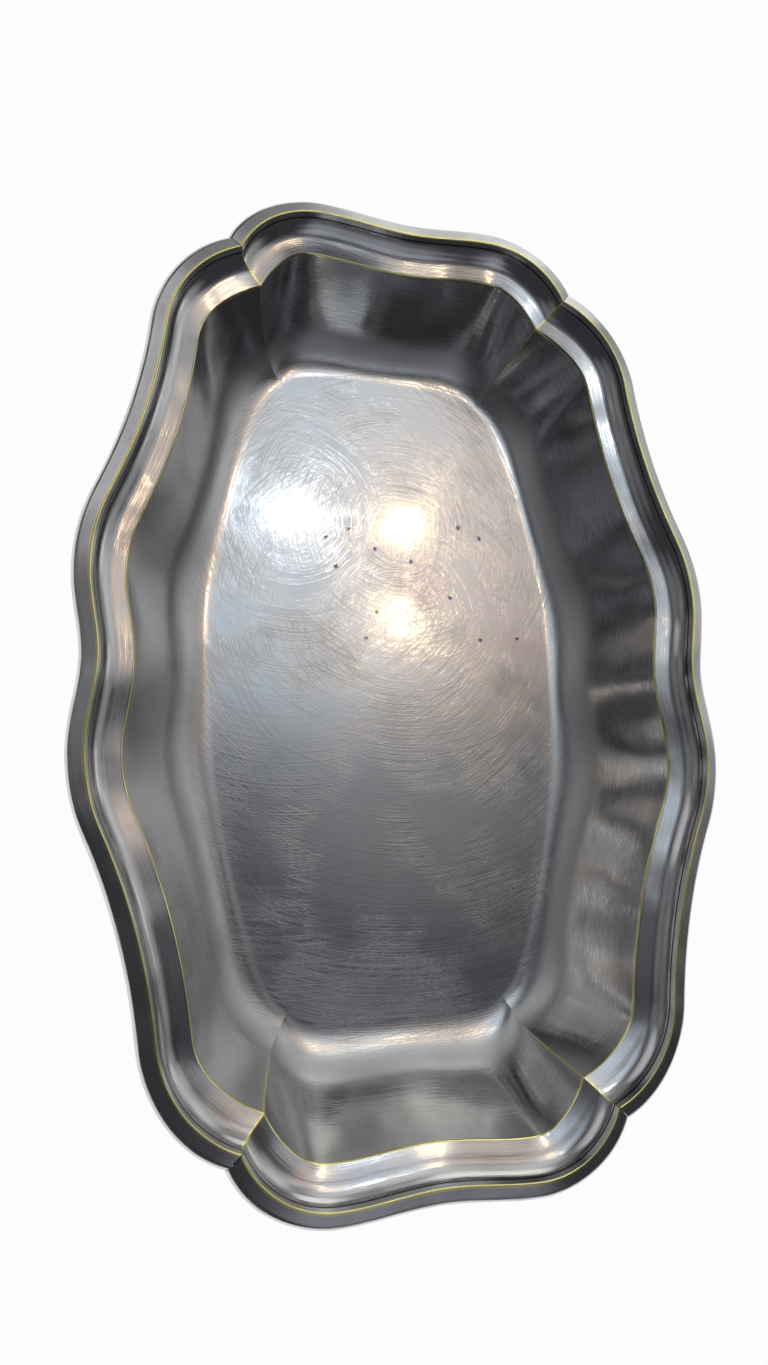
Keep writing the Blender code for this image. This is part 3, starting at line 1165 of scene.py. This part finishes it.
@dataclass(frozen=True)
class DishFinish(RubbedPlate):
    """Finish of the dish: swirled scratches on the floor, brushed walls, stains, and brass on the ridges."""

    floor_level: float = 0.0010
    hairs: Strokes = Strokes(10, 0.020, 0.00040, (0.76, 0.90), 0.000006)
    swirl: Swirl = Swirl(
        ((-0.036, 0.071), (0.009, 0.069), (0.007, 0.030)), 0.80, 0.00034, (0.56, 0.80), 0.000013)
    sway: Shake = Shake(22.0, 0.0025, 1.0, "2D")   # bends the scratches
    cloud_size: float = 0.030
    patch_size: float = 0.012
    worked: Ease = (0.38, 0.62, 0.25, 1.0)         # depth of the scratches, by cloud
    cloudy: Ease = (0.45, 0.80, 0.0, 0.6)          # share of the dull colour, by cloud
    arc_dull: float = 0.8                          # the same in the circular scratches
    floor_gloss: Ease = (0.35, 0.70, 0.05, 0.13)   # roughness of the floor, by cloud
    stroke_dull: float = 0.14                      # roughness that scratches and scuffs add
    scuff_dull: float = 0.20
    wall_gloss: float = 0.10
    patch_dull: Ease = (0.35, 0.75, 0.0, 0.07)     # roughness that patches add to wall and flange
    bend_gloss: float = 0.40                       # where floor turns into wall, rubbed dull
    bend_start: Ease = (0.0010, 0.0015)
    bend_end: Ease = (0.0050, 0.0140, 1.0, 0.0)
    rise: Ease = (0.0014, 0.0180)                  # levels between which the wall's waves come in
    flange_gloss: float = 0.11
    under_gloss: float = 0.34
    floor_waves: float = 0.06
    spot_rim: Shake = Shake(900.0, 0.0014, 1.0)
    blot_rim: Shake = Shake(160.0, 0.012, 3.0)
    spots: tuple[Spot, ...] = (
        Spot(-0.0228, 0.0615, 0.0011, Stain.BROWN),
        Spot(-0.0132, 0.0656, 0.0010, Stain.BROWN),
        Spot(-0.0025, 0.0580, 0.0013, Stain.VIOLET),
        Spot(0.0127, 0.0536, 0.0013, Stain.BLUE),
        Spot(-0.0189, 0.0497, 0.0014, Stain.BROWN),
        Spot(-0.0024, 0.0317, 0.0012, Stain.ASH),
        Spot(-0.0073, 0.0209, 0.0011, Stain.ASH),
        Spot(0.0435, 0.0659, 0.0013, Stain.BLUE),
        Spot(0.0342, 0.0700, 0.0013, Stain.VIOLET),
        Spot(0.0292, 0.0394, 0.0012, Stain.BLUE),
        Spot(0.0417, 0.0222, 0.0011, Stain.VIOLET),
        Spot(0.0585, 0.0234, 0.0011, Stain.VIOLET),
    )
    blots: tuple[Blot, ...] = (
        Blot(0.0227, 0.0509, 0.0160, 0.45, (0.36, 0.30, 0.36, 1.0)),
        Blot(0.0580, 0.0100, 0.0120, 0.45, (0.34, 0.29, 0.31, 1.0)),
        Blot(0.0640, -0.0240, 0.0090, 0.55, (0.36, 0.40, 0.45, 1.0)),
        Blot(0.0700, 0.0020, 0.0070, 0.50, (0.42, 0.45, 0.48, 1.0)),
    )
    scuffs: tuple[Mark, ...] = (
        Mark(0.0575, 0.0692, 0.0090),
        Mark(0.0498, 0.0397, 0.0080),
        Mark(0.0644, -0.0760, 0.0080),
        Mark(0.0529, -0.0394, 0.0070),
    )
    scribble_size: tuple[float, float] = (0.0035, 0.0022)
    scribble_turn: float = 0.6
    scribble_line: Ease = (0.012, 0.035, 1.0, 0.0)

    def stained(self, web: Web, place: Socket, colour: Socket) -> Socket:
        """Lays the floor's marks over a colour.

        Args:
            web: tree to work in.
            place: place on the piece.
            colour: colour below the marks.

        Returns:
            The colour with the marks.
        """
        spread, ragged = web.shaken(place, self.blot_rim), web.shaken(place, self.spot_rim)
        for blot in self.blots:
            share = web.times(blot.share_at(web, spread, self.floor_level), blot.share)
            colour = web.mix(share, colour, blot.colour)
        for spot in self.spots:
            colour = web.mix(spot.share_at(web, ragged, self.floor_level), colour, spot.stain.value)
        return colour

    def scuffed(self, web: Web, place: Socket) -> Socket:
        """Whitish scribbles: thin level lines of a cloud pattern, near the scuffs.

        Args:
            web: tree to work in.
            place: place on the piece.

        Returns:
            Share of the scribbles.
        """
        near = web.largest(*(scuff.share_at(web, place, self.floor_level) for scuff in self.scuffs))
        cloud = web.noise(place, self.scribble_size, self.scribble_turn, shift=0.31, detail=2.0)
        middle = web.math("ABSOLUTE", web.math("SUBTRACT", cloud, 0.5))
        return web.times(near, web.step(middle, *self.scribble_line))

    def material(self) -> Material:
        """Builds the material.

        Returns:
            The dish's plate.
        """
        web, material = Web.of_material("worn_plate")
        place = web.place()
        floor, below, flange = (web.attribute(name) for name in ("floor", "below", "flange"))
        level = web.out("ShaderNodeSeparateXYZ", {0: place}, "Z")
        clouds = web.noise(place, (self.cloud_size,) * 3, detail=4.0)
        patches = web.noise(place, (self.patch_size,) * 3, shift=0.5, detail=3.0)
        swayed = web.shaken(place, self.sway)
        hairs, arcs = (scratches.height(web, swayed) for scratches in (self.hairs, self.swirl))
        worked = web.times(floor, web.step(clouds, *self.worked))
        cut = web.math("MULTIPLY_ADD", hairs, self.hairs.depth, web.times(arcs, self.swirl.depth))
        waving = web.blend(web.step(level, *self.rise), self.floor_waves, 1.0)
        relief = web.total(
            web.times(cut, worked),
            web.times(self.brushing(web), web.math("SUBTRACT", 1.0, floor)),
            web.times(self.waves(web, place), waving),
        )
        scratched = web.times(web.largest(hairs, arcs), self.stroke_dull)
        floor_gloss = web.total(web.step(clouds, *self.floor_gloss), scratched)
        bend = web.times(web.step(level, *self.bend_start), web.step(level, *self.bend_end))
        wall_gloss = web.blend(bend, self.wall_gloss, self.bend_gloss)
        side_gloss = web.blend(flange, wall_gloss, self.flange_gloss)
        side_gloss = web.total(web.step(patches, *self.patch_dull), side_gloss)
        gloss = web.blend(below, web.blend(floor, side_gloss, floor_gloss), self.under_gloss)
        roughness = web.math("MULTIPLY_ADD", self.scuffed(web, place), self.scuff_dull, gloss)
        lined = web.times(arcs, worked, self.arc_dull)
        plate = web.mix(web.largest(web.step(clouds, *self.cloudy), lined), self.plate, self.dull)
        colour = web.mix(self.rubbed_share(web, place), self.stained(web, place, plate), self.brass)
        self.metal(web, colour, roughness, relief)
        return material


@dataclass(frozen=True)
class BorderFinish(RubbedPlate):
    """Finish of the border: brushed plate, brass along the ridge, and at its toe a near-black seam of soil
    and painted shade.
    """

    patch_size: float = 0.014
    gloss: Ease = (0.35, 0.75, 0.17, 0.27)   # roughness, by patch
    cloudy: Ease = (0.50, 0.80, 0.0, 0.5)    # share of the dull colour, by patch
    # values of the toe attribute over which the seam darkens to the colour of soil and painted shade
    seam_darkening: Ease = (0.1, 0.7)

    def material(self) -> Material:
        """Builds the material.

        Returns:
            The border's metal.
        """
        web, material = Web.of_material("border_metal")
        place = web.place()
        patches = web.noise(place, (self.patch_size,) * 3, detail=3.0)
        plate = web.mix(web.step(patches, *self.cloudy), self.plate, self.dull)
        rubbed = web.mix(self.rubbed_share(web, place), plate, self.brass)
        # painted shade with soil: the seam at the border's toe is darkened almost to black
        colour = web.mix(web.step(web.attribute("toe"), *self.seam_darkening), rubbed, self.soil_and_painted_shade)
        relief = web.total(self.brushing(web), self.waves(web, place))
        self.metal(web, colour, web.step(patches, *self.gloss), relief)
        return material


@dataclass(frozen=True)
class Lamp:
    """A small round lamp overhead."""

    name: str
    place: tuple[float, float, float]
    colour: tuple[float, float, float]
    power: float
    radius: float


@dataclass(frozen=True)
class Glow:
    """A soft patch of sky round a direction: full inside the inner angle, nothing outside the outer one."""

    way: tuple[float, float, float]
    inner: float
    outer: float
    light: tuple[float, float, float]


@dataclass
class Studio:
    """Floor, lamps, sky and camera round the platter."""

    image: tuple[int, int] = (768, 1365)
    focal_pixels: float = 921.7
    sensor: float = 36.0
    eye: tuple[float, float, float] = (-0.1102, -0.0637, 0.3405)
    right: tuple[float, float, float] = (0.9532, -0.0283, 0.3012)
    down: tuple[float, float, float] = (0.0285, -0.9828, -0.1825)
    ahead: tuple[float, float, float] = (0.3011, 0.1826, -0.9359)
    floor_half: float = 3.0
    floor_colour: Colour = (0.92, 0.92, 0.92, 1.0)
    floor_roughness: float = 0.9
    floor_white: float = 0.97     # share of the floor that shows plain white
    sky: tuple[float, float, float] = (0.042, 0.041, 0.047)
    lamps: tuple[Lamp, ...] = (
        Lamp("lamp_cool", (0.292, 0.665, 1.5), (0.90, 0.96, 1.0), 0.20, 0.042),
        Lamp("lamp_warm_far", (0.534, 0.652, 1.5), (1.0, 0.70, 0.36), 0.14, 0.028),
        Lamp("lamp_warm_near", (0.523, 0.445, 1.5), (1.0, 0.72, 0.40), 0.14, 0.028),
    )
    glows: tuple[Glow, ...] = (
        Glow((0.21, 0.36, 0.91), 7.0, 17.0, (0.47, 0.55, 0.62)),
        Glow((0.05, 0.27, 0.96), 3.0, 11.0, (0.18, 0.20, 0.22)),
        Glow((0.22, 0.36, 0.91), 12.0, 40.0, (0.07, 0.075, 0.08)),
        Glow((0.39, 0.31, 0.87), 3.0, 13.0, (0.30, 0.16, 0.07)),
        Glow((0.32, 0.12, 0.94), 2.0, 13.0, (0.16, 0.16, 0.16)),
        Glow((0.29, 0.68, 0.68), 6.0, 18.0, (0.40, 0.40, 0.39)),
        Glow((0.45, 0.86, 0.22), 6.0, 20.0, (0.86, 0.86, 0.80)),
        Glow((0.36, 0.82, 0.44), 14.0, 44.0, (0.26, 0.26, 0.25)),
        Glow((0.60, 0.27, 0.75), 4.0, 14.0, (0.36, 0.36, 0.36)),
        Glow((0.90, 0.26, 0.34), 8.0, 30.0, (0.32, 0.32, 0.32)),
        Glow((0.95, 0.22, 0.22), 2.0, 9.0, (0.50, 0.50, 0.48)),
        Glow((0.80, 0.36, 0.48), 4.0, 15.0, (0.28, 0.28, 0.27)),
        Glow((-0.48, 0.18, 0.86), 5.0, 19.0, (0.15, 0.15, 0.15)),
        Glow((-0.46, 0.62, 0.63), 9.0, 22.0, (0.58, 0.58, 0.59)),
        Glow((-0.85, 0.10, 0.50), 6.0, 22.0, (0.12, 0.12, 0.12)),
        Glow((-0.80, 0.45, 0.40), 6.0, 22.0, (0.10, 0.10, 0.10)),
        Glow((0.23, -0.37, 0.90), 4.0, 16.0, (0.34, 0.36, 0.40)),
        Glow((0.20, -0.72, 0.66), 6.0, 20.0, (0.24, 0.25, 0.28)),
        Glow((0.20, -0.93, 0.30), 6.0, 18.0, (0.10, 0.10, 0.11)),
    )

    def lay_floor(self) -> None:
        """Pale floor under the platter: part of it shows plain white to the eye and in reflections."""
        half = self.floor_half
        corners = np.array([(-half, -half, 0.0), (half, -half, 0.0), (half, half, 0.0), (-half, half, 0.0)])
        floor = make_piece("studio_floor", corners, [(0, 1, 2, 3)], pi)
        web, material = Web.of_material("pale_floor")
        shader = web.tree.nodes["Principled BSDF"]
        web.put(shader.inputs["Base Color"], self.floor_colour)
        web.put(shader.inputs["Roughness"], self.floor_roughness)
        path = web.node("ShaderNodeLightPath", {}).outputs
        seen = web.largest(path["Is Camera Ray"], path["Is Glossy Ray"], path["Is Transmission Ray"])
        white = web.out("ShaderNodeEmission", {"Color": (1.0, 1.0, 1.0, 1.0), "Strength": 1.0})
        share = web.times(seen, self.floor_white)
        mixed = web.out("ShaderNodeMixShader", {0: share, 1: shader.outputs[0], 2: white})
        web.put(web.tree.nodes["Material Output"].inputs["Surface"], mixed)
        floor.data.materials.append(material)
        floor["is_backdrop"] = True

    def hang_lamps(self) -> None:
        """Hangs the lamps, each facing the platter."""
        for lamp in self.lamps:
            data = bpy.data.lights.new(lamp.name, "AREA")
            data.shape = "DISK"
            data.size = 2 * lamp.radius
            data.energy = lamp.power
            data.color = lamp.colour
            holder = bpy.data.objects.new(lamp.name, data)
            holder.location = lamp.place
            holder.rotation_mode = "QUATERNION"
            holder.rotation_quaternion = Vector(lamp.place).to_track_quat("Z", "Y")
            bpy.context.scene.collection.objects.link(holder)

    def hang_sky(self) -> None:
        """Dim sky with soft patches of light: each adds its light times its weight."""
        world = bpy.data.worlds.new("studio")
        world.use_nodes = True
        web = Web(world.node_tree)
        way = web.out("ShaderNodeTexCoord", {}, "Generated")
        light: Value = self.sky
        for glow in self.glows:
            near = web.vector("DOT_PRODUCT", way, Vector(glow.way).normalized(), output="Value")
            weight = web.step(near, cos(radians(glow.outer)), cos(radians(glow.inner)))
            light = web.vector("MULTIPLY_ADD", glow.light, weight, light)
        web.put(web.tree.nodes["Background"].inputs["Color"], light)
        bpy.context.scene.world = world

    def place_camera(self) -> None:
        """Camera at the photograph's viewing angle; its sensor width is the long side's."""
        data = bpy.data.cameras.new("camera")
        data.sensor_fit = "AUTO"
        data.sensor_width = self.sensor
        data.lens = self.focal_pixels / max(self.image) * self.sensor
        camera = bpy.data.objects.new("camera", data)
        turn = Matrix((self.right, tuple(-d for d in self.down), tuple(-a for a in self.ahead))).transposed()
        camera.matrix_world = Matrix.Translation(self.eye) @ turn.to_4x4()
        bpy.context.scene.collection.objects.link(camera)
        bpy.context.scene.camera = camera


def main() -> None:
    """Builds the platter piece by piece, then the studio."""
    logging.basicConfig(level=logging.INFO, format="%(message)s")
    bpy.context.scene.view_settings.view_transform = "Standard"
    cad_box = [list(corner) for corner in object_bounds()]
    height = cad_box[1][2]
    plan = Plan()
    dish = Dish(plan, height)
    piece = dish.build()
    dish.dress(piece)
    LOG.info("%s: %d faces", piece.name, len(piece.data.polygons))
    border = Border(plan, height)
    metal = BorderFinish().material()
    for side in BorderSide:
        length = border.build(side)
        border.dress(length, side, metal)
        LOG.info("%s: %d faces", length.name, len(length.data.polygons))
    studio = Studio()
    studio.lay_floor()
    studio.hang_lamps()
    studio.hang_sky()
    studio.place_camera()


if __name__ == "__main__":
    main()
